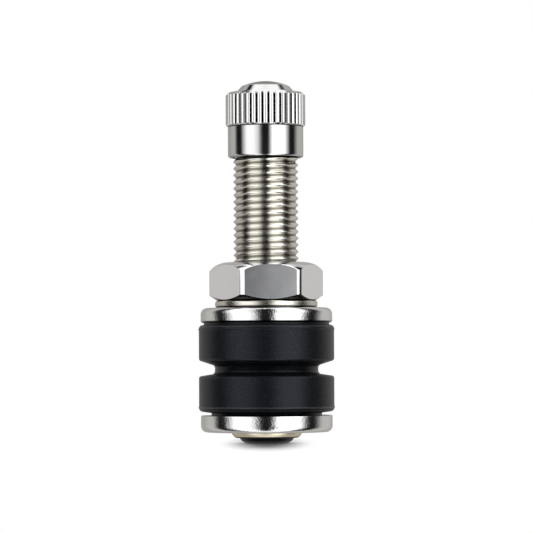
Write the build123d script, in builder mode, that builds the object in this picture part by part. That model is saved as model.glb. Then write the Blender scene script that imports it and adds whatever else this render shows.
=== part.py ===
from build123d import *
import os
from math import cos, radians, sin, sqrt, tan

# Clamp-in tubeless tyre valve, standing upright on its foot, at its real size in millimetres.
# +Z runs along the valve's axis towards the cap. The origin is the centre of the foot's flat underside.
# Every turned piece is a profile in the X-Z plane, where the first number is a radius and the second a
# height, revolved about Z. The stem's thread is a row of even rings; the other threads are plain
# cylinders with running clearance.

# Driving dimensions: threads and clearances
STEM_R = 7.75 / 2  # crest of the 7.7 mm, 32 per inch valve thread
STEM_PITCH = 25.4 / 32
CORE_THREAD_R = 5.2 / 2  # crest of the 5.2 mm, 36 per inch core thread
CORE_PITCH = 25.4 / 36
RUN = 0.03  # radial clearance of pieces that screw or slide on each other
FACE_GAP = 0.02  # gap between flat faces of pieces that part from each other

# Driving dimensions: the stack on the stem, from the floor up
FOOT_T = 0.71  # visible height of the black ring under the stem's head
HEAD_T = 0.61  # rounded head of the stem, below the lower washer
LOWER_WASHER_T = 2.07
GROMMET_T = 10.97
UPPER_WASHER_T = 1.78
FLAT_WASHER_T = 0.90
NUT_T = 4.51
CAP_GAP = 12.48  # bare thread between the nut and the cap
CAP_T = 9.14
MOUTH_BELOW_TOP = 3.39  # stem's mouth below the crown of the cap

# Heights that follow from the stack
HEAD_Z = FOOT_T
LOWER_WASHER_Z = HEAD_Z + HEAD_T
GROMMET_Z = LOWER_WASHER_Z + LOWER_WASHER_T
UPPER_WASHER_Z = GROMMET_Z + GROMMET_T
FLAT_WASHER_Z = UPPER_WASHER_Z + UPPER_WASHER_T
NUT_Z = FLAT_WASHER_Z + FLAT_WASHER_T
CAP_Z = NUT_Z + NUT_T + CAP_GAP
CAP_TOP_Z = CAP_Z + CAP_T
MOUTH_Z = CAP_TOP_Z - MOUTH_BELOW_TOP

os.makedirs("parts", exist_ok=True)


def finish(builder, name):
    """Labels a finished piece and writes it under its own name."""
    builder.part.label = name
    export_step(builder.part, f"parts/{name}.step")


def outer_rims(builder):
    """The circular edges of a piece at its greatest radius, from the lowest up."""
    circles = builder.edges().filter_by(GeomType.CIRCLE)
    return circles.group_by(SortBy.RADIUS)[-1].sort_by(Axis.Z)


def round_corner(section, radius, height, size):
    """Rounds the corner of a profile that lies at one radius and height."""
    corner = section.vertices().sort_by_distance((radius, height, 0))[0]
    fillet(corner, size)


# Foot ring: black rubber ring pressed into the end of the stem, with the air hole through it.
# It is flat where it stands and rises gently towards its rim.
AIR_R = 1.25
FOOT_FLAT_R = 2.00
FOOT_RIM_R = 3.02
FOOT_RIM_Z = 0.37
FOOT_TOP_R = 3.28
SPIGOT_R = 2.40
SPIGOT_T = 0.95

with BuildPart() as foot_ring:
    with BuildSketch(Plane.XZ):
        with BuildLine():
            Line((AIR_R, 0), (FOOT_FLAT_R, 0))
            TangentArc((FOOT_FLAT_R, 0), (FOOT_RIM_R, FOOT_RIM_Z), tangent=(1, 0))
            Polyline(
                (FOOT_RIM_R, FOOT_RIM_Z),
                (FOOT_TOP_R, FOOT_T),
                (SPIGOT_R, FOOT_T),
                (SPIGOT_R, FOOT_T + SPIGOT_T),
                (AIR_R, FOOT_T + SPIGOT_T),
                (AIR_R, 0),
            )
        make_face()
    revolve(axis=Axis.Z)
finish(foot_ring, "foot_ring")


# Valve stem: one turned brass piece. Its lower end passes through the lower washer and is set over
# into a rounded head. Inside it, from the mouth down, are the core's thread, the tapered seat of the
# core's packing, the core chamber and the air passage.
HEAD_R = 4.20
HEAD_END_R = 3.68
HEAD_BULGE = 0.09
NECK_R = 3.20
PASSAGE_R = 1.50
CHAMBER_R = 2.00
SEAT_TOP_R = 2.36
BORE_R = CORE_THREAD_R + RUN
MOUTH_R = 2.95
LIP_R = 3.30
LIP_CHAMFER_T = 0.55
SEAT_TOP_Z = MOUTH_Z - 8.9
SEAT_END_Z = MOUTH_Z - 11.2
CHAMBER_END_Z = MOUTH_Z - 18.6
PASSAGE_TAPER_T = 0.5
BORE_END_Z = MOUTH_Z - 7.6
RECESS_R = SPIGOT_R + 0.01
RECESS_TOP_Z = FOOT_T + SPIGOT_T + FACE_GAP
# The thread stands here as even rings of the right pitch and depth. That keeps its look with few
# faces, and leaves out the helix's rise and the narrow flats on crest and root.
THREAD_ROOT_R = STEM_R - 0.54 * STEM_PITCH
THREAD_TURNS = 31
THREAD_TOP_Z = MOUTH_Z - LIP_CHAMFER_T
thread_line = []
for turn in range(THREAD_TURNS, 0, -1):
    crest_z = THREAD_TOP_Z - turn * STEM_PITCH
    thread_line.append((STEM_R, crest_z))
    thread_line.append((THREAD_ROOT_R, crest_z + STEM_PITCH / 2))

with BuildPart() as valve_stem:
    with BuildSketch(Plane.XZ):
        with BuildLine():
            base = Line((RECESS_R, HEAD_Z), (HEAD_END_R, HEAD_Z))
            head = SagittaArc(base @ 1, (HEAD_R, LOWER_WASHER_Z), -HEAD_BULGE)
            outside = Polyline(
                head @ 1,
                (NECK_R, LOWER_WASHER_Z),
                (NECK_R, GROMMET_Z),
                (STEM_R, GROMMET_Z),
                *thread_line,
                (STEM_R, THREAD_TOP_Z),
                (LIP_R, MOUTH_Z),
                (MOUTH_R, MOUTH_Z),
            )
            Polyline(
                outside @ 1,
                (BORE_R, MOUTH_Z - (MOUTH_R - BORE_R)),
                (BORE_R, BORE_END_Z),
                (SEAT_TOP_R, BORE_END_Z - (BORE_R - SEAT_TOP_R)),
                (SEAT_TOP_R, SEAT_TOP_Z),
                (CHAMBER_R, SEAT_END_Z),
                (CHAMBER_R, CHAMBER_END_Z),
                (PASSAGE_R, CHAMBER_END_Z - PASSAGE_TAPER_T),
                (PASSAGE_R, RECESS_TOP_Z),
                (RECESS_R, RECESS_TOP_Z),
                base @ 0,
            )
        make_face()
    revolve(axis=Axis.Z)
finish(valve_stem, "valve_stem")


# Thick washers: two turned steel discs, each with a well rounded outer edge on the side away from the
# rubber. The lower one is held between the stem's shoulder and its head. The upper one slides on.
WASHER_R = 7.83
LOWER_WASHER_ROUND = 0.75
LOWER_WASHER_FACE_R = 5.6  # the flat underside ends here, and rises gently to the rounded edge
LOWER_WASHER_RISE = 0.08
UPPER_WASHER_ROUND = 1.05
UPPER_WASHER_EDGE = 0.30
WASHER_EDGE = 0.14
LOWER_BORE_R = NECK_R + RUN
UPPER_BORE_R = STEM_R + 0.12

with BuildPart() as lower_washer:
    with BuildSketch(Plane.XZ) as lower_washer_section:
        Polygon(
            (LOWER_BORE_R, LOWER_WASHER_Z),
            (LOWER_WASHER_FACE_R, LOWER_WASHER_Z),
            (WASHER_R, LOWER_WASHER_Z + LOWER_WASHER_RISE),
            (WASHER_R, GROMMET_Z),
            (LOWER_BORE_R, GROMMET_Z),
            align=None,
        )
        round_corner(
            lower_washer_section,
            WASHER_R,
            LOWER_WASHER_Z + LOWER_WASHER_RISE,
            LOWER_WASHER_ROUND,
        )
        round_corner(lower_washer_section, WASHER_R, GROMMET_Z, WASHER_EDGE)
    revolve(axis=Axis.Z)
finish(lower_washer, "lower_washer")

with BuildPart() as upper_washer:
    with BuildSketch(Plane.XY.offset(UPPER_WASHER_Z)):
        Circle(WASHER_R)
        Circle(UPPER_BORE_R, mode=Mode.SUBTRACT)
    extrude(amount=UPPER_WASHER_T)
    fillet(outer_rims(upper_washer)[-1], UPPER_WASHER_ROUND)
    fillet(outer_rims(upper_washer)[0], UPPER_WASHER_EDGE)
finish(upper_washer, "upper_washer")


# Rim grommet: one moulded rubber piece. Two collars stand on either side of the groove that takes the
# edge of the rim's valve hole. A low boss on each end keeps the collars just off the washers. The
# mould's parting lines leave a fine ridge round each collar, close to the washers.
COLLAR_R = 8.05
GROOVE_R = 6.15
LOWER_BOSS_R = 6.58
LOWER_BOSS_T = 0.28
UPPER_BOSS_R = 7.47
UPPER_BOSS_T = 0.25
UNDERSIDE_RISE = 0.20  # the lower collar's underside slopes up towards its rim
LOWER_COLLAR_T = 4.35  # from the lower boss to the lip of the groove
GROOVE_MOUTH_T = 1.88
GROOVE_RISE_BELOW = 0.30  # the groove's lower wall slopes up towards its floor
GROOVE_RISE_ABOVE = 0.62  # and its upper wall comes down towards it
LOWER_CORNER_ROUND = 0.45
UPPER_CORNER_ROUND = 0.45
COLLAR_LIP_ROUND = 0.32
GROOVE_ROUND = 0.42
RIDGE_H = 0.07
RIDGE_T = 0.30
LOWER_RIDGE_UP = 0.51  # height of the ridge's foot above the lower boss
UPPER_RIDGE_DOWN = 0.36  # and of the upper ridge's top below the upper collar's top

lower_collar_z = GROMMET_Z + LOWER_BOSS_T
lower_lip_z = lower_collar_z + LOWER_COLLAR_T
upper_lip_z = lower_lip_z + GROOVE_MOUTH_T
upper_collar_top_z = UPPER_WASHER_Z - UPPER_BOSS_T
lower_ridge_z = lower_collar_z + LOWER_RIDGE_UP
upper_ridge_z = upper_collar_top_z - UPPER_RIDGE_DOWN - RIDGE_T

with BuildPart() as rim_grommet:
    with BuildSketch(Plane.XZ) as grommet_section:
        with BuildLine():
            Polyline(
                (STEM_R + RUN, GROMMET_Z),
                (LOWER_BOSS_R, GROMMET_Z),
                (LOWER_BOSS_R, lower_collar_z),
                (COLLAR_R, lower_collar_z + UNDERSIDE_RISE),
                (COLLAR_R, lower_lip_z),
                (GROOVE_R, lower_lip_z + GROOVE_RISE_BELOW),
                (GROOVE_R, upper_lip_z - GROOVE_RISE_ABOVE),
                (COLLAR_R, upper_lip_z),
                (COLLAR_R, upper_collar_top_z),
                (UPPER_BOSS_R, upper_collar_top_z),
                (UPPER_BOSS_R, UPPER_WASHER_Z),
                (STEM_R + RUN, UPPER_WASHER_Z),
                close=True,
            )
        make_face()
        round_corner(grommet_section, COLLAR_R, lower_collar_z + UNDERSIDE_RISE, LOWER_CORNER_ROUND)
        round_corner(grommet_section, COLLAR_R, lower_lip_z, COLLAR_LIP_ROUND)
        round_corner(grommet_section, GROOVE_R, lower_lip_z + GROOVE_RISE_BELOW, GROOVE_ROUND)
        round_corner(grommet_section, GROOVE_R, upper_lip_z - GROOVE_RISE_ABOVE, GROOVE_ROUND)
        round_corner(grommet_section, COLLAR_R, upper_lip_z, COLLAR_LIP_ROUND)
        round_corner(grommet_section, COLLAR_R, upper_collar_top_z, UPPER_CORNER_ROUND)
        # Parting ridges, low triangles on the collars' outer faces
        for foot_z in (lower_ridge_z, upper_ridge_z):
            with BuildLine():
                Polyline(
                    (COLLAR_R - RIDGE_H, foot_z),
                    (COLLAR_R, foot_z),
                    (COLLAR_R + RIDGE_H, foot_z + RIDGE_T / 2),
                    (COLLAR_R, foot_z + RIDGE_T),
                    (COLLAR_R - RIDGE_H, foot_z + RIDGE_T),
                    close=True,
                )
            make_face()
    revolve(axis=Axis.Z)
finish(rim_grommet, "rim_grommet")


# Flat washer: thin stamped washer under the nut, with softened edges.
FLAT_WASHER_R = 6.10
FLAT_WASHER_EDGE = 0.34
FLAT_BORE_R = STEM_R + 0.08

with BuildPart() as flat_washer:
    with BuildSketch(Plane.XY.offset(FLAT_WASHER_Z)):
        Circle(FLAT_WASHER_R)
        Circle(FLAT_BORE_R, mode=Mode.SUBTRACT)
    extrude(amount=FLAT_WASHER_T - FACE_GAP)
    fillet(outer_rims(flat_washer), FLAT_WASHER_EDGE)
finish(flat_washer, "flat_washer")


# Hexagon nut: 12 mm across flats, from drawn bar. Each corner is a narrow, gently rounded facet. The
# upper end is domed down towards the corners, the lower end is chamfered, and the thread is
# countersunk at both ends.
NUT_ACROSS_FLATS = 12.0
NUT_CORNER_CUT = 0.38  # length that the facet takes from each flat
NUT_CORNER_R = 1.30  # rounding of the facet
NUT_TURN_DEG = 5.2  # how far the nut happens to stand turned from facing -Y
NUT_TOP_FACE_R = 4.60
NUT_DOME_R = 6.80
NUT_DOME_DROP = 1.09  # fall of the dome from the top face to its own radius
NUT_BOTTOM_FACE_R = 5.92
NUT_BOTTOM_CHAMFER_DEG = 34
NUT_SINK = 0.45
NUT_OUTSIDE_R = 7.5  # any radius beyond the corners

nut_top_z = NUT_Z + NUT_T
bottom_cone_z = NUT_Z + (NUT_OUTSIDE_R - NUT_BOTTOM_FACE_R) * tan(radians(NUT_BOTTOM_CHAMFER_DEG))
facet_half_width = NUT_CORNER_CUT * sin(radians(60))
facet_r = NUT_ACROSS_FLATS / sqrt(3) - NUT_CORNER_CUT * cos(radians(60))
facet_centre_r = facet_r - sqrt(NUT_CORNER_R**2 - facet_half_width**2)

with BuildPart() as hex_nut:
    with BuildSketch(Plane.XY.offset(NUT_Z)) as nut_section:
        RegularPolygon(NUT_ACROSS_FLATS / 2, 6, major_radius=False, rotation=NUT_TURN_DEG)
        chamfer(nut_section.vertices(), NUT_CORNER_CUT + RUN)
        with PolarLocations(facet_centre_r, 6, start_angle=NUT_TURN_DEG):
            Circle(NUT_CORNER_R)
        RegularPolygon(
            NUT_ACROSS_FLATS / 2, 6, major_radius=False, rotation=NUT_TURN_DEG, mode=Mode.INTERSECT
        )
    extrude(amount=NUT_T)
    with BuildSketch(Plane.XZ):
        with BuildLine():
            Line((STEM_R + RUN + NUT_SINK, nut_top_z), (NUT_TOP_FACE_R, nut_top_z))
            dome = TangentArc(
                (NUT_TOP_FACE_R, nut_top_z), (NUT_DOME_R, nut_top_z - NUT_DOME_DROP), tangent=(1, 0)
            )
            Polyline(
                dome @ 1,
                (NUT_OUTSIDE_R, nut_top_z - NUT_DOME_DROP),
                (NUT_OUTSIDE_R, bottom_cone_z),
                (NUT_BOTTOM_FACE_R, NUT_Z),
                (STEM_R + RUN + NUT_SINK, NUT_Z),
                (STEM_R + RUN, NUT_Z + NUT_SINK),
                (STEM_R + RUN, nut_top_z - NUT_SINK),
                (STEM_R + RUN + NUT_SINK, nut_top_z),
            )
        make_face()
    revolve(axis=Axis.Z, mode=Mode.INTERSECT)
finish(hex_nut, "hex_nut")


# Valve cap: plated brass, turned from one bar and open below. Above a plain skirt is a band of straight
# knurls with rounded ribs, chamfered at both ends, and then a low dome. Inside are the thread, a step
# that holds the seal, and the drilled hollow over the core's pin.
SKIRT_R = 4.50
SKIRT_ROUND = 0.26
KNURL_R = 4.76
KNURL_COUNT = 40
KNURL_RIB_R = 0.33
KNURL_ROOT_R = 4.52
KNURL_TOP_FACE_R = 4.36
KNURL_TOP_CHAMFER_T = 0.38
KNURL_BOTTOM_CHAMFER_T = 0.28
KNURL_Z = CAP_Z + 3.64
SHOULDER_Z = CAP_TOP_Z - 1.38  # flat face round the dome
DOME_FOOT_R = 3.54
DOME_EDGE_R = 2.85
DOME_EDGE_Z = CAP_TOP_Z - 0.62
SEAL_T = 1.05
SEAL_OUT_R = STEM_R - 0.10
SEAL_HOLE_R = 2.40
SEAL_Z = MOUTH_Z + FACE_GAP
STEP_Z = SEAL_Z + SEAL_T + FACE_GAP
HOLLOW_SIDE_Z = STEP_Z + 0.90
HOLLOW_TOP_Z = CAP_TOP_Z - 0.60
CAP_THREAD_SINK = 0.30

with BuildPart() as valve_cap:
    # Knurled band: rounded ribs, cut to the band's chamfered profile
    with BuildSketch(Plane.XY.offset(KNURL_Z)):
        Circle(KNURL_ROOT_R)
        with PolarLocations(KNURL_R - KNURL_RIB_R, KNURL_COUNT):
            Circle(KNURL_RIB_R)
    extrude(amount=SHOULDER_Z - KNURL_Z)
    with BuildSketch(Plane.XZ):
        Polygon(
            (0, KNURL_Z),
            (SKIRT_R, KNURL_Z),
            (KNURL_R, KNURL_Z + KNURL_BOTTOM_CHAMFER_T),
            (KNURL_R, SHOULDER_Z - KNURL_TOP_CHAMFER_T),
            (KNURL_TOP_FACE_R, SHOULDER_Z),
            (0, SHOULDER_Z),
            align=None,
        )
    revolve(axis=Axis.Z, mode=Mode.INTERSECT)
    # Skirt below the band
    with BuildSketch(Plane.XY.offset(CAP_Z)):
        Circle(SKIRT_R)
    extrude(amount=KNURL_Z - CAP_Z)
    fillet(valve_cap.faces().sort_by(Axis.Z)[0].edges(), SKIRT_ROUND)
    # Dome above it
    with BuildSketch(Plane.XZ):
        with BuildLine():
            Line((0, SHOULDER_Z), (0, CAP_TOP_Z))
            TangentArc((0, CAP_TOP_Z), (DOME_EDGE_R, DOME_EDGE_Z), tangent=(1, 0))
            Polyline((DOME_EDGE_R, DOME_EDGE_Z), (DOME_FOOT_R, SHOULDER_Z), (0, SHOULDER_Z))
        make_face()
    revolve(axis=Axis.Z)
    # Thread bore, seal's step and drilled hollow
    with BuildSketch(Plane.XZ):
        Polygon(
            (0, CAP_Z),
            (STEM_R + RUN + CAP_THREAD_SINK, CAP_Z),
            (STEM_R + RUN, CAP_Z + CAP_THREAD_SINK),
            (STEM_R + RUN, STEP_Z),
            (SEAL_HOLE_R, STEP_Z),
            (SEAL_HOLE_R, HOLLOW_SIDE_Z),
            (0, HOLLOW_TOP_Z),
            align=None,
        )
    revolve(axis=Axis.Z, mode=Mode.SUBTRACT)
finish(valve_cap, "valve_cap")


# Cap seal: rubber washer in the top of the cap, which closes on the stem's mouth.
with BuildPart() as cap_seal:
    with BuildSketch(Plane.XY.offset(SEAL_Z)):
        Circle(SEAL_OUT_R)
        Circle(SEAL_HOLE_R, mode=Mode.SUBTRACT)
    extrude(amount=SEAL_T)
finish(cap_seal, "cap_seal")


# Valve core. Its threaded plug swivels on a barrel that carries the packing. A sprung pin runs through
# both, and lifts a cup with a rubber face against the barrel's lower end. Heights count down from the
# stem's mouth.
PIN_R = 0.50
PIN_BORE_R = 0.62
BRIDGE_TOP_Z = MOUTH_Z - 1.00
BRIDGE_T = 1.90
BRIDGE_WIDTH = 4.10
BRIDGE_THICK = 1.70
PLUG_TOP_Z = BRIDGE_TOP_Z - BRIDGE_T
PLUG_END_Z = MOUTH_Z - 6.60
PLUG_CHAMFER = 0.25
SWIVEL_NECK_R = 1.30
SWIVEL_LIP_R = 1.55
SWIVEL_NECK_T = 0.65
SWIVEL_LIP_T = 0.55
WINDOW_THICK = 0.90

swivel_lip_z = PLUG_END_Z - SWIVEL_NECK_T
swivel_end_z = swivel_lip_z - SWIVEL_LIP_T

# Core plug: the threaded top with the two-sided bridge that a core tool turns. The pin runs through
# its middle and air flows past the pin.
with BuildPart() as core_plug:
    with BuildSketch(Plane.XZ):
        with BuildLine():
            Polyline(
                (0, swivel_end_z),
                (SWIVEL_LIP_R, swivel_end_z),
                (SWIVEL_LIP_R, swivel_lip_z),
                (SWIVEL_NECK_R, swivel_lip_z),
                (SWIVEL_NECK_R, PLUG_END_Z),
                (CORE_THREAD_R - PLUG_CHAMFER, PLUG_END_Z),
                (CORE_THREAD_R, PLUG_END_Z + PLUG_CHAMFER),
                (CORE_THREAD_R, PLUG_TOP_Z - PLUG_CHAMFER),
                (CORE_THREAD_R - PLUG_CHAMFER, PLUG_TOP_Z),
                (0, PLUG_TOP_Z),
                close=True,
            )
        make_face()
    revolve(axis=Axis.Z)
    with BuildSketch(Plane.XY.offset(PLUG_TOP_Z)):
        Circle(BRIDGE_WIDTH / 2)
        Rectangle(BRIDGE_WIDTH, BRIDGE_THICK, mode=Mode.INTERSECT)
    extrude(amount=BRIDGE_T)
    with BuildSketch(Plane.XY.offset(swivel_end_z)):
        Circle(PIN_BORE_R)
    extrude(amount=BRIDGE_TOP_Z - swivel_end_z, mode=Mode.SUBTRACT)
    # Air windows on both sides of the bridge, open to the pin's bore
    with BuildSketch(Plane.XY.offset(PLUG_TOP_Z)):
        Rectangle(WINDOW_THICK, BRIDGE_THICK)
    extrude(amount=BRIDGE_T / 2, mode=Mode.SUBTRACT)
finish(core_plug, "core_plug")


# Core barrel: closes round the plug's swivel lip, carries the packing in a groove, holds the spring,
# and ends in the narrow lip that the cup closes on.
BARREL_R = 1.95
BARREL_LOWER_R = 1.72
BARREL_TOP_Z = PLUG_END_Z - FACE_GAP
SWIVEL_CATCH_R = SWIVEL_NECK_R + RUN
SWIVEL_POCKET_R = SWIVEL_LIP_R + RUN
SWIVEL_GAP = 0.04
PACKING_TOP_Z = MOUTH_Z - 9.20
PACKING_END_Z = MOUTH_Z - 11.10
PACKING_GROOVE_R = 1.58
SPRING_BORE_R = 1.30
SPRING_FLOOR_Z = MOUTH_Z - 14.20
BARREL_LIP_Z = MOUTH_Z - 15.00
BARREL_LIP_R = 1.20
PIN_PORT_R = 0.85

catch_end_z = swivel_lip_z + SWIVEL_GAP
pocket_end_z = swivel_end_z - SWIVEL_GAP

with BuildPart() as core_barrel:
    with BuildSketch(Plane.XZ):
        with BuildLine():
            Polyline(
                (SWIVEL_CATCH_R, BARREL_TOP_Z),
                (BARREL_R - PLUG_CHAMFER, BARREL_TOP_Z),
                (BARREL_R, BARREL_TOP_Z - PLUG_CHAMFER),
                (BARREL_R, PACKING_TOP_Z),
                (PACKING_GROOVE_R, PACKING_TOP_Z),
                (PACKING_GROOVE_R, PACKING_END_Z),
                (BARREL_LOWER_R, PACKING_END_Z),
                (BARREL_LOWER_R, SPRING_FLOOR_Z),
                (BARREL_LIP_R, BARREL_LIP_Z),
                (PIN_PORT_R, BARREL_LIP_Z),
                (PIN_PORT_R, SPRING_FLOOR_Z),
                (SPRING_BORE_R, SPRING_FLOOR_Z),
                (SPRING_BORE_R, pocket_end_z),
                (SWIVEL_POCKET_R, pocket_end_z),
                (SWIVEL_POCKET_R, catch_end_z),
                (SWIVEL_CATCH_R, catch_end_z),
                close=True,
            )
        make_face()
    revolve(axis=Axis.Z)
finish(core_barrel, "core_barrel")


# Core packing: the tapered sealing ring in the barrel's groove, which seats in the stem's taper.
SEAT_CLEAR = 0.02

seat_slope = (SEAT_TOP_R - CHAMBER_R) / (SEAT_TOP_Z - SEAT_END_Z)
packing_top_r = CHAMBER_R + seat_slope * (PACKING_TOP_Z - SEAT_END_Z) - SEAT_CLEAR
packing_end_r = CHAMBER_R + seat_slope * (PACKING_END_Z - SEAT_END_Z) - SEAT_CLEAR

with BuildPart() as core_packing:
    with BuildSketch(Plane.XZ):
        with BuildLine():
            Polyline(
                (PACKING_GROOVE_R, PACKING_END_Z),
                (packing_end_r, PACKING_END_Z),
                (packing_top_r, PACKING_TOP_Z),
                (PACKING_GROOVE_R, PACKING_TOP_Z),
                close=True,
            )
        make_face()
    revolve(axis=Axis.Z)
finish(core_packing, "core_packing")


# Core pin: long pin with a rounded tip just under the stem's mouth, a collar that the spring pushes
# up on, and an end that is riveted over under the cup.
PIN_TIP_Z = MOUTH_Z - 0.30
PIN_TIP_ROUND = 0.30
COLLAR_PIN_R = 1.15
COLLAR_TOP_Z = MOUTH_Z - 8.05
COLLAR_T = 0.40
CUP_FLOOR_T = 0.45
CUP_SEAL_T = 1.00
CUP_RIM_T = 0.75
CUP_R = 1.60
CUP_WALL_T = 0.20
PIN_RIVET_R = 0.85
PIN_RIVET_T = 0.35

cup_seal_top_z = BARREL_LIP_Z - FACE_GAP
cup_floor_z = cup_seal_top_z - CUP_SEAL_T
cup_end_z = cup_floor_z - CUP_FLOOR_T

with BuildPart() as core_pin:
    with BuildSketch(Plane.XZ):
        with BuildLine():
            Polyline(
                (0, PIN_TIP_Z),
                (PIN_R, PIN_TIP_Z),
                (PIN_R, COLLAR_TOP_Z),
                (COLLAR_PIN_R, COLLAR_TOP_Z),
                (COLLAR_PIN_R, COLLAR_TOP_Z - COLLAR_T),
                (PIN_R, COLLAR_TOP_Z - COLLAR_T),
                (PIN_R, cup_end_z),
                (PIN_RIVET_R, cup_end_z),
                (PIN_R, cup_end_z - PIN_RIVET_T),
                (0, cup_end_z - PIN_RIVET_T),
                close=True,
            )
        make_face()
    revolve(axis=Axis.Z)
    fillet(core_pin.edges().group_by(Axis.Z)[-1], PIN_TIP_ROUND)
finish(core_pin, "core_pin")


# Core cup: shallow brass cup riveted to the lower end of the pin, open upwards.
with BuildPart() as core_cup:
    with BuildSketch(Plane.XZ):
        with BuildLine():
            Polyline(
                (PIN_R, cup_end_z),
                (CUP_R - CUP_WALL_T, cup_end_z),
                (CUP_R, cup_end_z + CUP_WALL_T),
                (CUP_R, cup_floor_z + CUP_RIM_T),
                (CUP_R - CUP_WALL_T, cup_floor_z + CUP_RIM_T),
                (CUP_R - CUP_WALL_T, cup_floor_z),
                (PIN_R, cup_floor_z),
                close=True,
            )
        make_face()
    revolve(axis=Axis.Z)
finish(core_cup, "core_cup")


# Cup seal: the rubber washer held in the cup, which the spring holds against the barrel's lip.
with BuildPart() as core_cup_seal:
    with BuildSketch(Plane.XY.offset(cup_floor_z)):
        Circle(CUP_R - CUP_WALL_T)
        Circle(PIN_R, mode=Mode.SUBTRACT)
    extrude(amount=CUP_SEAL_T)
finish(core_cup_seal, "core_cup_seal")


# Core spring: round wire coil between the barrel's floor and the collar on the pin.
WIRE_R = 0.14
WIRE_SIDES = 6  # the wire is drawn with six flat sides, so that its many turns stay light
COIL_R = 0.95
COIL_TURNS = 7

coil_bottom_z = SPRING_FLOOR_Z + WIRE_R + FACE_GAP
coil_top_z = COLLAR_TOP_Z - COLLAR_T - WIRE_R - FACE_GAP
coil_height = coil_top_z - coil_bottom_z

with BuildPart() as core_spring:
    with BuildLine(Plane.XY.offset(coil_bottom_z)):
        coil = Helix(pitch=coil_height / COIL_TURNS, height=coil_height, radius=COIL_R)
    with BuildSketch(Plane(origin=coil @ 0, z_dir=coil % 0)):
        RegularPolygon(WIRE_R, WIRE_SIDES)
    sweep(path=coil, is_frenet=True)
finish(core_spring, "core_spring")
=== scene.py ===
from math import atan, cos, pi, radians, sin

import bpy
from mathutils import Matrix, Vector


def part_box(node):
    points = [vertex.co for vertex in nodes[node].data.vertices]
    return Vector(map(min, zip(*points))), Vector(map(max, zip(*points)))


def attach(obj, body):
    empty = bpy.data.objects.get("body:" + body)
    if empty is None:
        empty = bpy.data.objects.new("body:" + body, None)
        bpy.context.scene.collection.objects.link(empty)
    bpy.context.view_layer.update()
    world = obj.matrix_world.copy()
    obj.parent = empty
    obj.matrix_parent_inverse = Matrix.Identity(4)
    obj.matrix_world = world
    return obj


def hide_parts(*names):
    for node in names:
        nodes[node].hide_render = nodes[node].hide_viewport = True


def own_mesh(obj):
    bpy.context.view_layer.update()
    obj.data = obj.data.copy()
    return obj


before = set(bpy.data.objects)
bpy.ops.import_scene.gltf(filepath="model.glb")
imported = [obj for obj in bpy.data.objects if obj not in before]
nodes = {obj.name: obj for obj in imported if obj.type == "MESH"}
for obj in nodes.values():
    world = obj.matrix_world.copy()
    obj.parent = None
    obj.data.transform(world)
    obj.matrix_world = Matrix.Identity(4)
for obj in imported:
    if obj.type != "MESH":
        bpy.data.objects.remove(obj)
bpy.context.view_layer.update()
MM = 0.001


def heights(node_name):
    """The lowest and highest point of a frame piece, in millimetres."""
    low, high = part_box(node_name)
    return low.z / MM, high.z / MM


head_z, mouth_z = heights("valve_stem")
cap_bottom_z, cap_top_z = heights("valve_cap")
upper_washer_z, upper_washer_top_z = heights("upper_washer")
lower_washer_z = heights("lower_washer")[0]
grommet_z = heights("rim_grommet")[0]
THREAD_START_Z = 14.0  # lowest cut thread of the stem, hidden in the grommet
VALVE_MIDDLE = (0, 0, 0.02)  # in metres

# Camera: a long lens 10 mm above the floor, looking slightly up
IMAGE_PX = 533
MM_PER_PX = 0.119  # at the valve's axis
FLOOR_ROW = 443.5  # row of the photograph where the foot meets the floor
HORIZON_ROW = 360.0  # row that lies as high as the camera
AXIS_COLUMN = 266.15  # column of the valve's axis
LEAN_DEG = -0.26  # the photograph leans this far, its top to the left
CAMERA_DISTANCE = 369.0  # gives the photograph's perspective
SENSOR = 36.0

camera_z = (FLOOR_ROW - HORIZON_ROW) * MM_PER_PX
tilt = atan((HORIZON_ROW - IMAGE_PX / 2) * MM_PER_PX / CAMERA_DISTANCE)
camera_x = (IMAGE_PX / 2 - AXIS_COLUMN) * MM_PER_PX
lens = SENSOR * CAMERA_DISTANCE / (IMAGE_PX * MM_PER_PX)
bpy.ops.object.camera_add(
    location=(camera_x * MM, -CAMERA_DISTANCE * MM, camera_z * MM),
    rotation=(radians(90) + tilt, 0, 0),
)
camera = bpy.context.object
camera.name = "camera"
camera.matrix_world = camera.matrix_world @ Matrix.Rotation(radians(LEAN_DEG), 4, "Z")
camera.data.lens = lens
camera.data.sensor_width = SENSOR
camera.data.clip_start = 0.01
camera.data.clip_end = 10
bpy.context.scene.camera = camera
bpy.context.scene.view_settings.view_transform = "Standard"


def linear(hex_colour):
    """An sRGB colour written as six hex digits, as the linear colour that a shader takes."""
    parts = [int(hex_colour[i : i + 2], 16) / 255 for i in (0, 2, 4)]
    return [c / 12.92 if c <= 0.04045 else ((c + 0.055) / 1.055) ** 2.4 for c in parts] + [1]


def add_node(tree, kind, inputs=None, **settings):
    """Adds a shader node. Each of its inputs takes a plain value, or the output that feeds it."""
    node = tree.nodes.new("ShaderNode" + kind)
    for name, value in settings.items():
        setattr(node, name, value)
    for socket, value in (inputs or {}).items():
        if isinstance(value, bpy.types.NodeSocket):
            tree.links.new(value, node.inputs[socket])
        else:
            node.inputs[socket].default_value = value
    return node


def blank_material(name):
    """A material with an empty node tree."""
    material = bpy.data.materials.new(name)
    material.use_nodes = True
    material.node_tree.nodes.clear()
    return material


def set_stops(ramp, stops):
    """Gives a colour ramp its stops, each a position and a grey or a colour."""
    elements = ramp.color_ramp.elements
    while len(elements) > 1:
        elements.remove(elements[-1])
    for index, (position, tone) in enumerate(stops):
        element = elements[0] if index == 0 else elements.new(position)
        element.position = position
        element.color = tone if isinstance(tone, list) else (tone, tone, tone, 1)


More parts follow.
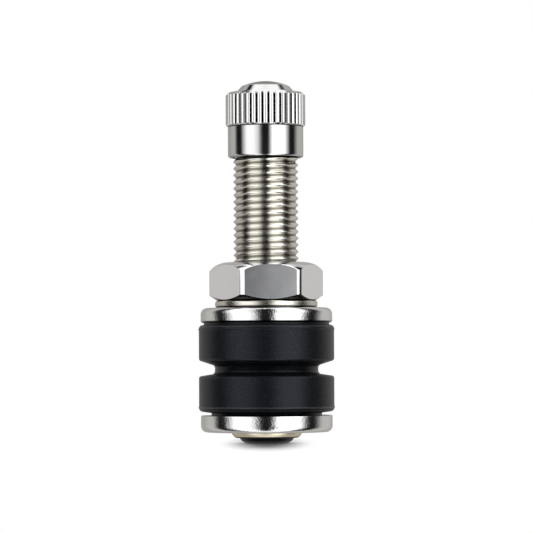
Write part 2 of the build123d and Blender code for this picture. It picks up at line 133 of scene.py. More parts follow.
# Studio: a light tent that only reflections see, and an even sky and two soft lamps for the rest
TENT_RADIUS = 0.36  # about as far off as the camera, so that flat faces reflect a gradient
TENT_BRIGHT = 1.9
TENT_BRIGHT_RIGHT = 2.5
TENT_BACK = [0.73, 0.71, 0.68, 1]  # a little warm
TENT_FAR_BACK = [0.50, 0.486, 0.466, 1]
TENT_FLAG = 0.018
# Tone of the tent's wall by its bearing in degrees: 0 is behind the camera, and right is positive.
# White cloth, three black flags (one about the camera and one at each side), and grey cloth at the
# back, darker in the part of it that only grazing reflections see.
TENT_WALL = [
    (-180, TENT_FAR_BACK),
    (-145, TENT_FAR_BACK),
    (-120, TENT_BACK),
    (-105, TENT_BACK),
    (-98, 0.18),
    (-93, TENT_FLAG),
    (-77, TENT_FLAG),
    (-67, 0.9),
    (-56, TENT_BRIGHT),
    (-35, TENT_BRIGHT),
    (-21, 1.2),
    (-15, 0.36),
    (-9, TENT_FLAG),
    (7.5, TENT_FLAG),
    (9.6, 0.22),
    (12.0, 0.60),
    (17.0, 1.5),
    (22, TENT_BRIGHT_RIGHT),
    (54, TENT_BRIGHT_RIGHT),
    (68, 0.7),
    (76, TENT_FLAG),
    (92, TENT_FLAG),
    (101, 0.30),
    (112, TENT_BACK),
    (133, TENT_BACK),
    (158, TENT_FAR_BACK),
    (180, TENT_FAR_BACK),
]
# Heights, and places across and along the view, are shares of the tent's radius
LEAN_BACK = 0.44  # how far back the wall's panels meet overhead
ROOF = 1.8  # a bright panel overhead
ROOF_FRONT = (-0.12, -0.02)  # places where an edge starts and ends its fade
ROOF_BACK = (0.55, 0.65)
ROOF_LEFT = (-0.30, -0.20)
ROOF_RIGHT = (0.36, 0.46)
ROOF_FOOT = (0.80, 0.88)
GROUND = 1.3  # the white table, as downward surfaces see it
GROUND_RIM = (0.93, 0.985)  # how far down it starts and is full


def tent_material():
    """The tent's wall, with a bright roof panel over the valve and a white table under it."""
    material = blank_material("light_tent")
    tree = material.node_tree
    place = add_node(tree, "TexCoord")
    direction = add_node(tree, "VectorMath", {0: place.outputs["Object"]}, operation="NORMALIZE")
    axes = add_node(tree, "SeparateXYZ", {0: direction.outputs[0]})

    def fade(value, span, falling=False):
        ends = (1.0, 0.0) if falling else (0.0, 1.0)
        return add_node(
            tree,
            "MapRange",
            {
                "Value": value,
                "From Min": span[0],
                "From Max": span[1],
                "To Min": ends[0],
                "To Max": ends[1],
            },
        ).outputs[0]

    def product(first, second):
        return add_node(tree, "Math", {0: first, 1: second}, operation="MULTIPLY").outputs[0]

    upward = add_node(tree, "Math", {0: axes.outputs["Z"], 1: 0.0}, operation="MAXIMUM")
    forward = add_node(
        tree,
        "Math",
        {0: product(upward.outputs[0], LEAN_BACK), 1: axes.outputs["Y"]},
        operation="SUBTRACT",
    )
    bearing = add_node(
        tree, "Math", {0: axes.outputs["X"], 1: forward.outputs[0]}, operation="ARCTAN2"
    )
    wall = add_node(tree, "ValToRGB", {0: fade(bearing.outputs[0], (-pi, pi))})
    set_stops(wall, [((angle + 180) / 360, tone) for angle, tone in TENT_WALL])

    across, along, up = (axes.outputs[axis] for axis in "XYZ")
    roof_across = product(fade(across, ROOF_LEFT), fade(across, ROOF_RIGHT, True))
    roof_along = product(fade(along, ROOF_FRONT), fade(along, ROOF_BACK, True))
    roof_round = product(fade(up, ROOF_FOOT), roof_across)
    down = product(up, -1.0)
    roofed = add_node(
        tree,
        "Mix",
        {0: product(roof_along, roof_round), 6: wall.outputs[0], 7: (ROOF, ROOF, ROOF, 1)},
        data_type="RGBA",
    )
    whole = add_node(
        tree,
        "Mix",
        {0: fade(down, GROUND_RIM), 6: roofed.outputs[2], 7: (GROUND, GROUND, GROUND, 1)},
        data_type="RGBA",
    )
    glow = add_node(tree, "Emission", {"Color": whole.outputs[2], "Strength": 1.0})
    add_node(tree, "OutputMaterial", {"Surface": glow.outputs[0]})
    return material


bpy.ops.mesh.primitive_uv_sphere_add(
    segments=96, ring_count=48, radius=TENT_RADIUS, location=VALVE_MIDDLE
)
tent = bpy.context.object
tent.name = "light_tent"
tent.data.materials.append(tent_material())
tent.visible_camera = False
tent.visible_diffuse = False
tent.visible_shadow = False
tent.visible_volume_scatter = False

# Floor: plain white to the camera outside an oval patch round the foot. In the patch it is grey
# paper
# lit by the lamps: the valve's shadow shows there, and the grey itself is painted shadow. The patch
# fades outwards to plain white, and is long because the camera sees the floor almost edge on.
FLOOR_SIZE = 3.0
# the paper's grey, which only the shadow patch shows: painted shadow
SHADOW_PATCH_GREY = (0.45, 0.45, 0.45, 1)
WHITE = (1, 1, 1, 1)
SHADOW_HALF_WIDTH = 0.0060
SHADOW_HALF_LENGTH = 0.040
SHADOW_CENTRE_Y = 0.0036
SHADOW_CORE = 0.19  # where the fade starts, as a share of the patch

floor_white = blank_material("white_paper_floor")
floor_tree = floor_white.node_tree
floor_place = add_node(floor_tree, "TexCoord")
patch_place = add_node(
    floor_tree,
    "Mapping",
    {
        "Vector": floor_place.outputs["Object"],
        "Location": (0, SHADOW_CENTRE_Y, 0),
        "Scale": (SHADOW_HALF_WIDTH, SHADOW_HALF_LENGTH, 1),
    },
    vector_type="TEXTURE",
)
patch_distance = add_node(
    floor_tree, "VectorMath", {0: patch_place.outputs[0]}, operation="LENGTH"
)
plain = add_node(
    floor_tree,
    "MapRange",
    {"Value": patch_distance.outputs["Value"], "From Min": SHADOW_CORE, "From Max": 1.0},
    interpolation_type="SMOOTHSTEP",
)
seen = add_node(floor_tree, "LightPath")
paper = add_node(floor_tree, "BsdfDiffuse", {"Color": SHADOW_PATCH_GREY})
white = add_node(floor_tree, "Emission", {"Color": WHITE, "Strength": 1.0})
amount = add_node(
    floor_tree,
    "Math",
    {0: seen.outputs["Is Camera Ray"], 1: plain.outputs[0]},
    operation="MULTIPLY",
)
cover = add_node(
    floor_tree, "MixShader", {0: amount.outputs[0], 1: paper.outputs[0], 2: white.outputs[0]}
)
add_node(floor_tree, "OutputMaterial", {"Surface": cover.outputs[0]})
bpy.ops.mesh.primitive_plane_add(size=FLOOR_SIZE, location=(0, 0, 0))
floor = bpy.context.object
floor.name = "floor"
floor.data.materials.append(floor_white)
floor.visible_glossy = False

# Sky: an even weak light, and plain white to the camera
SKY = 0.08
world = bpy.data.worlds.new("studio")
bpy.context.scene.world = world
world.use_nodes = True
sky_tree = world.node_tree
sky_tree.nodes.clear()
sky_seen = add_node(sky_tree, "LightPath")
sky_strength = add_node(
    sky_tree,
    "MapRange",
    {"Value": sky_seen.outputs["Is Camera Ray"], "To Min": SKY, "To Max": 1.0},
)
sky_colour = add_node(
    sky_tree, "Background", {"Color": WHITE, "Strength": sky_strength.outputs[0]}
)
add_node(sky_tree, "OutputWorld", {"Surface": sky_colour.outputs[0]})

LAMP_SIZE = 0.30


def soft_lamp(name, place, power):
    """A square soft lamp aimed at the valve. Reflections see the tent and not the lamp."""
    bpy.ops.object.light_add(type="AREA", location=place)
    lamp = bpy.context.object
    lamp.name = name
    lamp.data.shape = "SQUARE"
    lamp.data.size = LAMP_SIZE
    lamp.data.energy = power
    aim = Vector(VALVE_MIDDLE) - Vector(place)
    lamp.rotation_euler = aim.to_track_quat("-Z", "Y").to_euler()
    lamp.visible_glossy = False
    return lamp


soft_lamp("lamp_behind", (0.0, 0.42, 0.40), 4.2)
soft_lamp("lamp_front", (0.0, -0.42, 0.40), 0.3)

# Overlays: painted shade, painted highlights and wear on one part of a piece. Each is a colour,
# its bottom and top, and two radii from the valve's axis. It is full inside the first radius and
# gone outside the second. All are in millimetres.
# Each overlay, painted shade and highlights as well as wear, fades in and out over this height
OVERLAY_EDGE = 0.08  # how softly a stain ends at its top and bottom
ANY_R = 20.0  # outside every piece
BELOW_ALL = -1.0  # under every piece


def band(hex_colour, bottom, top):
    """An overlay that goes all round a piece, whatever its radius."""
    return (hex_colour, bottom, top, ANY_R, ANY_R + 1)


def overlaid(tree, place, clean, overlay):
    """The clean colour with one overlay over it: painted shade, a painted highlight or wear."""
    hex_colour, bottom, top, full_r, clean_r = overlay
    flat_place = add_node(tree, "VectorMath", {0: place, 1: (1, 1, 0)}, operation="MULTIPLY")
    radius = add_node(tree, "VectorMath", {0: flat_place.outputs[0]}, operation="LENGTH")
    height = add_node(tree, "SeparateXYZ", {0: place})
    inward = add_node(
        tree,
        "MapRange",
        {
            "Value": radius.outputs["Value"],
            "From Min": full_r * MM,
            "From Max": clean_r * MM,
            "To Min": 1.0,
            "To Max": 0.0,
        },
    )
    above = add_node(
        tree,
        "MapRange",
        {
            "Value": height.outputs["Z"],
            "From Min": bottom * MM,
            "From Max": (bottom + OVERLAY_EDGE) * MM,
        },
    )
    below = add_node(
        tree,
        "MapRange",
        {
            "Value": height.outputs["Z"],
            "From Min": (top - OVERLAY_EDGE) * MM,
            "From Max": top * MM,
            "To Min": 1.0,
            "To Max": 0.0,
        },
    )
    between = add_node(
        tree, "Math", {0: above.outputs[0], 1: below.outputs[0]}, operation="MULTIPLY"
    )
    share = add_node(
        tree, "Math", {0: between.outputs[0], 1: inward.outputs[0]}, operation="MULTIPLY"
    )
    mixed = add_node(
        tree, "Mix", {0: share.outputs[0], 6: clean, 7: linear(hex_colour)}, data_type="RGBA"
    )
    return mixed.outputs[2]


# A grain is given as its width and its depth in millimetres. Plate and moulded rubber have a finer
# one than a picture of this size can show, so it is drawn 0.1 to 0.3 wide.
PATCH_MM = 2.0  # size of the patches of more and of less polish
PATCH_NOISE = (0.3, 0.7)  # noise values that give the brightest and the dullest polish
PATCH_SHARE = 0.32  # by what share of itself a metal's roughness goes down and up
# the fade of the painted underside shade
UNDERSIDE_FADE = (-0.35, -0.55)  # Z of a normal where the underside's colour starts and is full


def metal(
    name, colour, roughness, grain_mm, grain_depth_mm, overlays=(), dull_below=None, underside_shade=None
):
    """A metal with a fine grain in its relief, faint larger patches in its polish and any overlays.

    dull_below is a height and the roughness below it. underside_shade is a painted shade: the
    colour of downward faces.
    """
    material = blank_material(name)
    tree = material.node_tree
    place = add_node(tree, "TexCoord")
    grain = add_node(
        tree,
        "TexNoise",
        {
            "Vector": place.outputs["Object"],
            "Scale": 1 / (grain_mm * MM),
            "Detail": 2.0,
            "Roughness": 0.6,
        },
    )
    patch = add_node(
        tree,
        "TexNoise",
        {"Vector": place.outputs["Object"], "Scale": 1 / (PATCH_MM * MM), "Detail": 3.0},
    )
    polish = add_node(
        tree,
        "MapRange",
        {
            "Value": patch.outputs["Fac"],
            "From Min": PATCH_NOISE[0],
            "From Max": PATCH_NOISE[1],
            "To Min": roughness * (1 - PATCH_SHARE),
            "To Max": roughness * (1 + PATCH_SHARE),
        },
    )
    relief = add_node(
        tree,
        "Bump",
        {"Height": grain.outputs["Fac"], "Distance": grain_depth_mm * MM, "Strength": 1.0},
    )
    tone = linear(colour)
    for overlay in overlays:
        tone = overlaid(tree, place.outputs["Object"], tone, overlay)
    gloss = polish.outputs[0]
    if dull_below:
        top, dull = dull_below
        height = add_node(tree, "SeparateXYZ", {0: place.outputs["Object"]})
        worn = add_node(
            tree,
            "MapRange",
            {
                "Value": height.outputs["Z"],
                "From Min": top * MM,
                "From Max": (top + OVERLAY_EDGE) * MM,
            },
        )
        softer = add_node(tree, "Mix", {0: worn.outputs[0], 2: dull, 3: gloss}, data_type="FLOAT")
        gloss = softer.outputs[0]
    if underside_shade:
        facing = add_node(tree, "SeparateXYZ", {0: place.outputs["Normal"]})
        down = add_node(
            tree,
            "MapRange",
            {
                "Value": facing.outputs["Z"],
                "From Min": UNDERSIDE_FADE[0],
                "From Max": UNDERSIDE_FADE[1],
            },
        )
        shaded = add_node(
            tree, "Mix", {0: down.outputs[0], 6: tone, 7: linear(underside_shade)}, data_type="RGBA"
        )
        tone = shaded.outputs[2]
    surface = add_node(
        tree,
        "BsdfPrincipled",
        {
            "Base Color": tone,
            "Metallic": 1.0,
            "Roughness": gloss,
            "Normal": relief.outputs[0],
        },
    )
    add_node(tree, "OutputMaterial", {"Surface": surface.outputs[0]})
    return material


FLECK_SPACING = 0.30  # in millimetres; real specks of powder lie closer, but would not show
FLECK_FADE = (0.08, 0.26)  # a fleck's full and faded radius, as shares of the spacing
RUBBER_IOR = 1.30  # low, for a skin that the release powder dulls


def rubber(
    name,
    colour,
    fleck_colour,
    roughness,
    grain_mm,
    grain_depth_mm,
    sheen_colour="FFFFFF",
    shades=(),
    painted_highlights=(),
):
    """A dull elastic surface with a fine grain in its relief and a dusting of flecks.

    Shades are painted shade in its sheen, and painted_highlights are painted highlights in its
    colour.
    """
    material = blank_material(name)
    tree = material.node_tree
    place = add_node(tree, "TexCoord")
    grain = add_node(
        tree,
        "TexNoise",
        {"Vector": place.outputs["Object"], "Scale": 1 / (grain_mm * MM), "Detail": 2.0},
    )
    fleck = add_node(
        tree,
        "TexVoronoi",
        {"Vector": place.outputs["Object"], "Scale": 1 / (FLECK_SPACING * MM)},
        feature="F1",
    )
    fleck_share = add_node(
        tree,
        "MapRange",
        {
            "Value": fleck.outputs["Distance"],
            "From Min": FLECK_FADE[0],
            "From Max": FLECK_FADE[1],
            "To Min": 1.0,
            "To Max": 0.0,
        },
    )
    tone = add_node(
        tree,
        "Mix",
        {0: fleck_share.outputs[0], 6: linear(colour), 7: linear(fleck_colour)},
        data_type="RGBA",
    )
    flecks_and_highlights = tone.outputs[2]
    for overlay in painted_highlights:
        flecks_and_highlights = overlaid(tree, place.outputs["Object"], flecks_and_highlights, overlay)
    sheen = linear(sheen_colour)
    for overlay in shades:
        sheen = overlaid(tree, place.outputs["Object"], sheen, overlay)
    relief = add_node(
        tree,
        "Bump",
        {"Height": grain.outputs["Fac"], "Distance": grain_depth_mm * MM, "Strength": 1.0},
    )
    surface = add_node(
        tree,
        "BsdfPrincipled",
        {
            "Base Color": flecks_and_highlights,
            "Roughness": roughness,
            "IOR": RUBBER_IOR,
            "Specular Tint": sheen,
            "Normal": relief.outputs[0],
        },
    )
    add_node(tree, "OutputMaterial", {"Surface": surface.outputs[0]})
    return material


# Bright chromium plate on turned brass: a neutral mirror with a barely frosted edge to its
# reflections. A lighter colour on the knurls is a painted highlight, and painted shade darkens the
# roots and the foot of the knurls, the cap's mouth and the top of the dome.
KNURL_BAND = (cap_bottom_z + 3.82, cap_top_z - 1.70)
# painted highlight: a lighter colour all over the knurls
knurl_highlight = band("EAEAEA", *KNURL_BAND)
# painted shade: black in the knurls' grooves, inside a radius
knurl_groove_shade = ("060607", *KNURL_BAND, 4.61, 4.705)
# painted shade: a black band at the foot of the knurls
knurl_foot_shade = band("0A0A0A", cap_bottom_z + 3.58, cap_bottom_z + 3.78)
# painted shade: black inside the cap's mouth
mouth_shade = ("060607", cap_bottom_z - 1, cap_top_z - 1.6, 4.33, 4.42)
# painted shade: the top of the dome darker
dome_top_shade = band("6A6A6A", cap_top_z - 0.46, cap_top_z + 1)
cap_chrome = metal(
    "bright_chromium_plate",
    "BFBFBF",
    0.10,
    0.12,
    0.0035,
    overlays=(knurl_highlight, knurl_groove_shade, knurl_foot_shade, mouth_shade, dome_top_shade),
)
# The same plate on drawn hexagon bar: smooth even greys, and black painted shade on its downward
# faces, the chamfer over the washer
nut_chrome = metal("chromium_plate_on_drawn_bar", "DADBDE", 0.11, 0.30, 0.0003, underside_shade="161616")
# Nickel plate on turned brass: warmer and softer than chromium, with painted shade in the thread's
# roots.
# On the head, worked over after plating, the brass shines through in a dull cream.
# painted shade: darker thread roots, fading out towards the crests
thread_root_shade = ("716D64", THREAD_START_Z, mouth_z - 0.4, 3.556, 3.68)
head_wear = band("D4CBB3", BELOW_ALL, lower_washer_z + 0.3)
# painted shadow: black on the bottom of the head, over the foot ring
head_foot_shadow = band("0C0C0C", BELOW_ALL, head_z + 0.19)
stem_nickel = metal(
    "nickel_plate_on_turned_brass",
    "D5D3CB",
    0.20,
    0.16,
    0.006,
    overlays=(thread_root_shade, head_wear, head_foot_shadow),
    dull_below=(lower_washer_z + 0.3, 0.42),
)
# Nickel plate on the thin stamped washer: a soft warm shine, with a black line of painted shade at
# its joint
# painted shade: a black line at the bottom of the flat washer
joint_shade = band("060606", upper_washer_top_z - 1, upper_washer_top_z + 0.24)
washer_nickel = metal(
    "nickel_plate_on_stamped_steel", "C4C0B7", 0.20, 0.11, 0.012, overlays=(joint_shade,)
)
# Zinc plate on tumbled steel: bright, with a pebbled surface that breaks up reflections' edges
# painted shade: a black band at the bottom of the upper washer, over the gap to the grommet
washer_gap_shade = band("080808", upper_washer_z - 0.2, upper_washer_z + 0.26)
washer_zinc = metal(
    "zinc_plate_on_tumbled_steel", "CFCFCF", 0.10, 0.24, 0.016, overlays=(washer_gap_shade,)
)
# Bare turned brass of the core: yellow, with the satin of a fine turning tool
core_brass = metal("turned_brass", "C9A35A", 0.25, 0.2, 0.002)
# Drawn stainless wire: a cool, even shine
spring_wire = metal("drawn_stainless_wire", "B9BABB", 0.22, 0.1, 0.001)
# Vulcanised rubber from a fine-eroded mould: a soft bluish sheen with a dusting of release powder.
# A lighter colour on the parting ridge and the upper edge is painted highlight. Painted shade
# darkens the sheen in the groove, below the ridge and at the foot against the lower washer.
# painted shade: a darker sheen in the upper part of the groove
groove_shade = band("565A62", grommet_z + 5.23, grommet_z + 6.51)
# painted shade: no sheen at the grommet's foot, against the lower washer
grommet_gap_shade = band("000000", grommet_z - 1, grommet_z + 0.32)
# painted shade: a darker sheen below the parting ridge
under_ridge_shade = band("6C7076", grommet_z + 0.28, grommet_z + 0.86)
# painted highlight: a lighter colour on the parting ridge
ridge_highlight = band("5E6064", grommet_z + 0.80, grommet_z + 1.06)
# painted highlight: a lighter colour on the upper collar's top edge
edge_highlight = band("4A4C50", upper_washer_z - 0.58, upper_washer_z - 0.32)
grommet_rubber = rubber(
    "moulded_black_rubber",
    "1E2126",
    "54565A",
    0.34,
    0.10,
    0.006,
    "DCE4F4",
    shades=(grommet_gap_shade, under_ridge_shade, groove_shade),
    painted_highlights=(ridge_highlight, edge_highlight),
)
# Softer, smoother rubber of the foot ring and the inner seals: deep black with hardly any sheen
foot_rubber = rubber("smooth_black_rubber", "050506", "0A0A0B", 0.35, 0.15, 0.002, "08080A")
# Red polymer of the core's packing ring: dull and plain
packing_red = rubber("red_sealing_polymer", "8E1D16", "9A2A22", 0.4, 0.2, 0.001)


def dress(piece, material):
    """Gives a piece one material all over."""
    piece.data.materials.clear()
    piece.data.materials.append(material)


for node_name, finish_material in {
    "valve_cap": cap_chrome,
    "flat_washer": washer_nickel,
    "lower_washer": washer_zinc,
    "rim_grommet": grommet_rubber,
    "foot_ring": foot_rubber,
    "cap_seal": foot_rubber,
    "core_cup_seal": foot_rubber,
    "core_packing": packing_red,
    "core_plug": core_brass,
    "core_barrel": core_brass,
    "core_pin": core_brass,
    "core_cup": core_brass,
}.items():
    dress(nodes[node_name], finish_material)


# Points this close, in millimetres, are merged in a frame piece's mesh and in a mesh made here
TRIANGLE_GAP = 0.0005
POINT_GAP = 0.001


def deselect():
    """Leaves nothing selected and no object in edit mode."""
    if bpy.context.object and bpy.context.object.mode != "OBJECT":
        bpy.ops.object.mode_set(mode="OBJECT")
    bpy.ops.object.select_all(action="DESELECT")


def choose(piece):
    """Makes one piece the selected and active one, in object mode."""
    deselect()
    bpy.context.view_layer.objects.active = piece
    piece.select_set(True)


def merged_copy(node_name, name):
    """A piece with a frame piece's shape, whose loose triangles are joined."""
    piece = nodes[node_name].copy()
    piece.data = nodes[node_name].data.copy()
    piece.name = name
    for key in list(piece.keys()):
        del piece[key]
    piece.parent = None
    bpy.context.scene.collection.objects.link(piece)
    choose(piece)
    bpy.ops.object.mode_set(mode="EDIT")
    bpy.ops.mesh.select_all(action="SELECT")
    bpy.ops.mesh.remove_doubles(threshold=TRIANGLE_GAP * MM)
    bpy.ops.object.mode_set(mode="OBJECT")
    return piece


def apply_modifier(piece, kind, **settings):
    """Adds a modifier with its settings and applies it."""
    choose(piece)
    modifier = piece.modifiers.new(kind.lower(), kind)
    for key, value in settings.items():
        setattr(modifier, key, value)
    bpy.ops.object.modifier_apply(modifier=modifier.name)


# Stem thread: a right-hand helix in place of the frame's rings, 32 turns to the inch. The plating
# fills its roots, so it is shallower than the thread that was cut, with flanks at 45 degrees and
# narrow rounded crests.
THREAD_PITCH = 25.4 / 32
THREAD_CREST_R = 3.872
THREAD_ROOT_R = 3.558
THREAD_SIDES = 96
CREST_ON_PLUS_X_Z = 13.285  # height of a crest where the thread passes +X
CREST_HALF = 0.020  # half the flat part of a crest, and below of a root
CREST_ROUND = (0.016, 0.030)  # across and along the axis
ROOT_HALF = 0.030
ROOT_ROUND = (0.016, 0.035)
ROD_TOP_Z = mouth_z + 1
ROD_FOOT_Z = -1.0
ROD_FOOT_WIDEN = 1.5  # how many times wider the rod gets below the thread
CUT_GAP = 1e-7  # in metres
SAME_HEIGHT = 0.01  # heights this close count as equal


def section_line(name, points):
    """A line through points of the X-Z plane, each given by its radius and height."""
    deselect()
    first_r, first_z = points[0]
    bpy.ops.mesh.primitive_plane_add(size=MM, location=(first_r * MM, 0, first_z * MM))
    line = bpy.context.object
    line.name = name
    bpy.ops.object.transform_apply(location=True, rotation=False, scale=False)
    bpy.ops.object.mode_set(mode="EDIT")
    bpy.ops.mesh.select_all(action="SELECT")
    bpy.ops.mesh.merge(type="CENTER")
    for (r0, z0), (r1, z1) in zip(points, points[1:]):
        bpy.ops.mesh.extrude_vertices_move(
            TRANSFORM_OT_translate={"value": ((r1 - r0) * MM, 0, (z1 - z0) * MM)}
        )
    bpy.ops.object.mode_set(mode="OBJECT")
    return line


def threaded_rod():
    """A rod with the stem's thread, and wide below it so that it encloses the stem's foot."""
    half = THREAD_PITCH / 2
    profile = [
        (THREAD_ROOT_R, -half),
        (THREAD_ROOT_R, -half + ROOT_HALF),
        (THREAD_ROOT_R + ROOT_ROUND[0], -half + ROOT_HALF + ROOT_ROUND[1]),
        (THREAD_CREST_R - CREST_ROUND[0], -CREST_HALF - CREST_ROUND[1]),
        (THREAD_CREST_R, -CREST_HALF),
        (THREAD_CREST_R, CREST_HALF),
        (THREAD_CREST_R - CREST_ROUND[0], CREST_HALF + CREST_ROUND[1]),
        (THREAD_ROOT_R + ROOT_ROUND[0], half - ROOT_HALF - ROOT_ROUND[1]),
        (THREAD_ROOT_R, half - ROOT_HALF),
        (THREAD_ROOT_R, half),
    ]
    rod = section_line("threaded_rod", [(r, CREST_ON_PLUS_X_Z + z) for r, z in profile])
    turns = int((ROD_TOP_Z + 1 - CREST_ON_PLUS_X_Z) / THREAD_PITCH) + 1
    apply_modifier(
        rod,
        "SCREW",
        axis="Z",
        angle=2 * pi,
        screw_offset=THREAD_PITCH * MM,
        iterations=turns,
        steps=THREAD_SIDES,
        render_steps=THREAD_SIDES,
        use_smooth_shade=True,
    )
    bpy.ops.object.mode_set(mode="EDIT")
    bpy.ops.mesh.select_all(action="SELECT")
    bpy.ops.mesh.remove_doubles(threshold=POINT_GAP * MM)
    for cut_z, side in ((THREAD_START_Z, "clear_inner"), (ROD_TOP_Z, "clear_outer")):
        bpy.ops.mesh.select_all(action="SELECT")
        bpy.ops.mesh.bisect(
            plane_co=(0, 0, cut_z * MM), plane_no=(0, 0, 1), threshold=CUT_GAP, **{side: True}
        )
    # The lower end opens out, runs down past the foot and is closed
    select_edges_at(rod, THREAD_START_Z)
    bpy.ops.mesh.extrude_region_move(TRANSFORM_OT_translate={"value": (0, 0, 0)})
    bpy.ops.transform.resize(
        value=(ROD_FOOT_WIDEN, ROD_FOOT_WIDEN, 1), center_override=(0, 0, THREAD_START_Z * MM)
    )
    bpy.ops.mesh.extrude_region_move(
        TRANSFORM_OT_translate={"value": (0, 0, (ROD_FOOT_Z - THREAD_START_Z) * MM)}
    )
    bpy.ops.mesh.edge_face_add()
    select_edges_at(rod, ROD_TOP_Z)
    bpy.ops.mesh.edge_face_add()
    bpy.ops.mesh.select_all(action="SELECT")
    bpy.ops.mesh.normals_make_consistent(inside=False)
    bpy.ops.object.mode_set(mode="OBJECT")
    return rod


def select_edges_at(piece, height):
    """In edit mode, selects the open edges that lie at one height."""
    bpy.ops.mesh.select_mode(type="EDGE")
    bpy.ops.mesh.select_all(action="DESELECT")
    bpy.ops.mesh.select_non_manifold(
        extend=False,
        use_wire=True,
        use_boundary=True,
        use_multi_face=False,
        use_non_contiguous=False,
        use_verts=False,
    )
    bpy.ops.object.mode_set(mode="OBJECT")
    points = piece.data.vertices
    for edge in piece.data.edges:
        low = min(points[i].co.z for i in edge.vertices) / MM
        high = max(points[i].co.z for i in edge.vertices) / MM
        if abs(low - height) > SAME_HEIGHT or abs(high - height) > SAME_HEIGHT:
            edge.select = False
    for point in points:
        point.select = False
    for face in piece.data.polygons:
        face.select = False
    for edge in piece.data.edges:
        if edge.select:
            for i in edge.vertices:
                points[i].select = True
    bpy.ops.object.mode_set(mode="EDIT")


RING_CREST_R = 3.875  # crests of the frame's ring thread
RING_ROOT_R = 3.44  # just inside its roots
RINGS_START_Z = 5.0  # all its rings lie above this
RINGS_BELOW_MOUTH = 0.6  # and at least this far below the mouth
SAME_RADIUS = 0.01  # radii this close count as equal


def fill_rings(piece):
    """Moves the roots and flanks of the frame's ring thread out, which leaves a plain cylinder."""
    bpy.ops.object.mode_set(mode="EDIT")
    bpy.ops.mesh.select_mode(type="VERT")
    bpy.ops.mesh.select_all(action="DESELECT")
    bpy.ops.object.mode_set(mode="OBJECT")
    radii = {
        point.index: round(Vector((point.co.x, point.co.y)).length / MM, 2)
        for point in piece.data.vertices
        if RINGS_START_Z < point.co.z / MM < mouth_z - RINGS_BELOW_MOUTH
    }
    inner_radii = {r for r in radii.values() if RING_ROOT_R < r < RING_CREST_R - SAME_RADIUS}
    for radius in sorted(inner_radii):
        for point in piece.data.vertices:
            point.select = radii.get(point.index) == radius
        bpy.ops.object.mode_set(mode="EDIT")
        wide = RING_CREST_R / radius
        bpy.ops.transform.resize(value=(wide, wide, 1), center_override=(0, 0, 0))
        bpy.ops.object.mode_set(mode="OBJECT")


rod = threaded_rod()
threaded_stem = merged_copy("valve_stem", "threaded_stem")
fill_rings(threaded_stem)
apply_modifier(threaded_stem, "BOOLEAN", operation="INTERSECT", object=rod, solver="EXACT")
bpy.data.objects.remove(rod)
choose(threaded_stem)
bpy.ops.object.shade_smooth_by_angle(angle=radians(12))
dress(threaded_stem, stem_nickel)
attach(threaded_stem, "stem")
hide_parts("valve_stem")

# Upper washer: the frame's size with tighter rounds, which leave more of its wall upright for the
# light to run down
UPPER_ROUND = 0.75
LOWER_ROUND = 0.26
ROUND_STEPS = 10
WASHER_BORE_R = 3.995
WASHER_SIDES = 128
washer_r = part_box("upper_washer")[1].x / MM


def arc(centre_r, centre_z, size, first_deg):
    """Points of a quarter round. Its angles count from straight outwards, and upwards is 90."""
    angles = [radians(first_deg + 90 * i / ROUND_STEPS) for i in range(ROUND_STEPS + 1)]
    return [(centre_r + size * cos(angle), centre_z + size * sin(angle)) for angle in angles]


washer_section = [
    (WASHER_BORE_R, upper_washer_z),
    *arc(washer_r - LOWER_ROUND, upper_washer_z + LOWER_ROUND, LOWER_ROUND, -90),
    *arc(washer_r - UPPER_ROUND, upper_washer_top_z - UPPER_ROUND, UPPER_ROUND, 0),
    (WASHER_BORE_R, upper_washer_top_z),
    (WASHER_BORE_R, upper_washer_z),
]
turned_washer = section_line("turned_washer", washer_section)
apply_modifier(
    turned_washer,
    "SCREW",
    axis="Z",
    angle=2 * pi,
    screw_offset=0,
    steps=WASHER_SIDES,
    render_steps=WASHER_SIDES,
    use_merge_vertices=True,
    merge_threshold=POINT_GAP * MM,
)
bpy.ops.object.mode_set(mode="EDIT")
bpy.ops.mesh.select_all(action="SELECT")
bpy.ops.mesh.remove_doubles(threshold=POINT_GAP * MM)
bpy.ops.mesh.normals_make_consistent(inside=False)
bpy.ops.object.mode_set(mode="OBJECT")
bpy.ops.object.shade_smooth_by_angle(angle=radians(25))
dress(turned_washer, washer_zinc)
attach(turned_washer, "stem")
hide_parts("upper_washer")

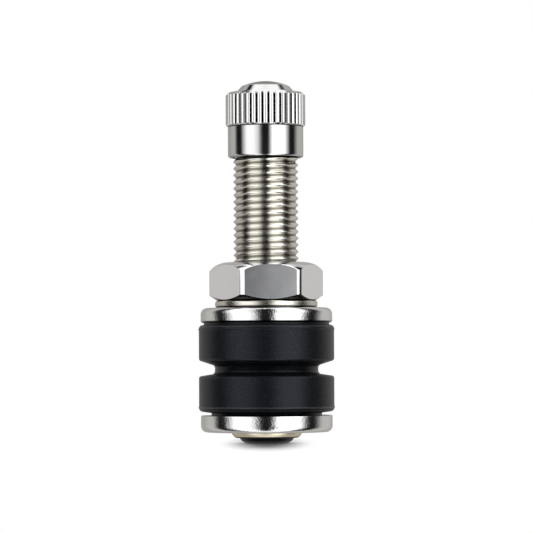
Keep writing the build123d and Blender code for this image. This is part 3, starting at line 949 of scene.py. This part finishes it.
# Nut: the frame's nut with its edges broken, so that each one catches a thin line of light
EDGE_BREAK = 0.05
bevelled_nut = merged_copy("hex_nut", "bevelled_nut")
bpy.ops.object.mode_set(mode="EDIT")
bpy.ops.mesh.select_all(action="SELECT")
bpy.ops.mesh.dissolve_limited(angle_limit=radians(0.5))
bpy.ops.object.mode_set(mode="OBJECT")
apply_modifier(
    bevelled_nut,
    "BEVEL",
    width=EDGE_BREAK * MM,
    segments=2,
    limit_method="ANGLE",
    angle_limit=radians(11),
    use_clamp_overlap=True,
)
bpy.ops.object.shade_smooth_by_angle(angle=radians(35))
apply_modifier(bevelled_nut, "WEIGHTED_NORMAL", mode="FACE_AREA", weight=95, keep_sharp=True)
dress(bevelled_nut, nut_chrome)
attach(bevelled_nut, "nut")
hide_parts("hex_nut")

# Core spring: a coil of round wire round the core's pin.
WIRE_R = 0.13
WIRE_STEPS = 12
COIL_R = 0.95
COIL_TURNS = 7
COIL_SIDES = 40
low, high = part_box("core_spring")
coil_bottom_z = low.z / MM + WIRE_R
coil_top_z = high.z / MM - WIRE_R
wire_angles = [2 * pi * i / WIRE_STEPS for i in range(WIRE_STEPS)]
wire_section = [(COIL_R + WIRE_R * cos(a), coil_bottom_z + WIRE_R * sin(a)) for a in wire_angles]
wound_spring = section_line("wound_spring", [*wire_section, wire_section[0]])
apply_modifier(
    wound_spring,
    "SCREW",
    axis="Z",
    angle=2 * pi,
    screw_offset=(coil_top_z - coil_bottom_z) / COIL_TURNS * MM,
    iterations=COIL_TURNS,
    steps=COIL_SIDES,
    render_steps=COIL_SIDES,
)
bpy.ops.object.mode_set(mode="EDIT")
bpy.ops.mesh.select_all(action="SELECT")
bpy.ops.mesh.remove_doubles(threshold=POINT_GAP * MM)
bpy.ops.mesh.select_all(action="SELECT")
bpy.ops.mesh.fill_holes(sides=0)
bpy.ops.mesh.select_all(action="SELECT")
bpy.ops.mesh.normals_make_consistent(inside=False)
bpy.ops.object.mode_set(mode="OBJECT")
bpy.ops.object.shade_smooth_by_angle(angle=radians(40))
dress(wound_spring, spring_wire)
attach(wound_spring, "core_barrel")
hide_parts("core_spring")
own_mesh(wound_spring)
